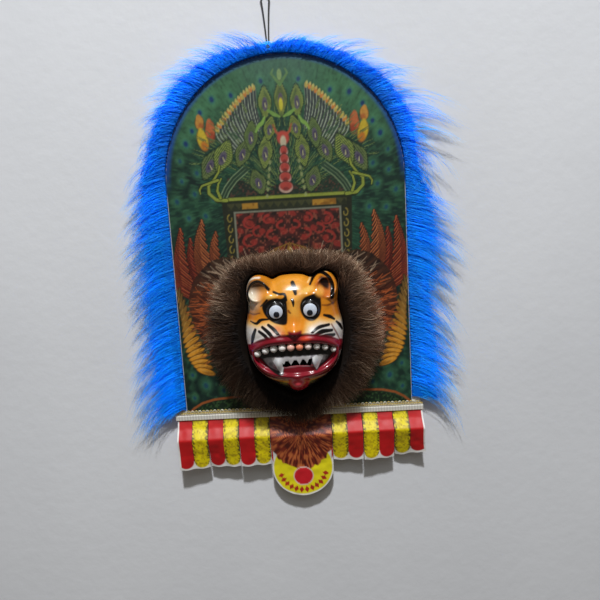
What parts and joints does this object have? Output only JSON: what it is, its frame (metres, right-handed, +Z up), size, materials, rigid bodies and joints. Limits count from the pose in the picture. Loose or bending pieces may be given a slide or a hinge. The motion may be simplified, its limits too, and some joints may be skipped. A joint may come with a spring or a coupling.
{
  "type": "mask wall hanging",
  "caption": "Wall-hung reog mask: moulded tiger face in a brown fur mane on an arched printed board, with blue fur trim, a striped valance and a black hanging cord.",
  "frame": {"origin": "the nail's contact point, at the inner top of the hanging cord's loop", "axes": "+Z up along the wall, -Y out of the printed front, +Y into the wall, +X to the right as seen from the front"},
  "size_m": [0.5459, 0.0973, 0.7827],
  "materials": {
    "board": "raw fibreboard",
    "picture": "printed vinyl, satin",
    "blue_fur": "long-pile faux fur",
    "brown_fur": "long-pile faux fur",
    "mask_plastic": "glossy, airbrushed",
    "eye_white": "white card",
    "pupil": "black",
    "eye_clear": "clear plastic dome",
    "valance_vinyl": "printed vinyl, striped",
    "tape": "woven cotton tape",
    "braid": "metallic lace",
    "cord": "twisted black cord"
  },
  "bodies": {
    "root": {"back_board": "board", "printed_picture": "picture", "fur_trim_long": "blue_fur", "fur_trim_short": "blue_fur", "tiger_mask": "mask_plastic", "mane": "brown_fur", "eye_disc_left": "eye_white", "pupil_left": "pupil", "eye_dome_left": "eye_clear", "eye_disc_right": "eye_white", "pupil_right": "pupil", "eye_dome_right": "eye_clear", "valance": "valance_vinyl", "white_tape": "tape", "gold_braid": "braid", "hanging_cord": "cord", "cord_knot": "cord"}
  },
  "joints": []
}
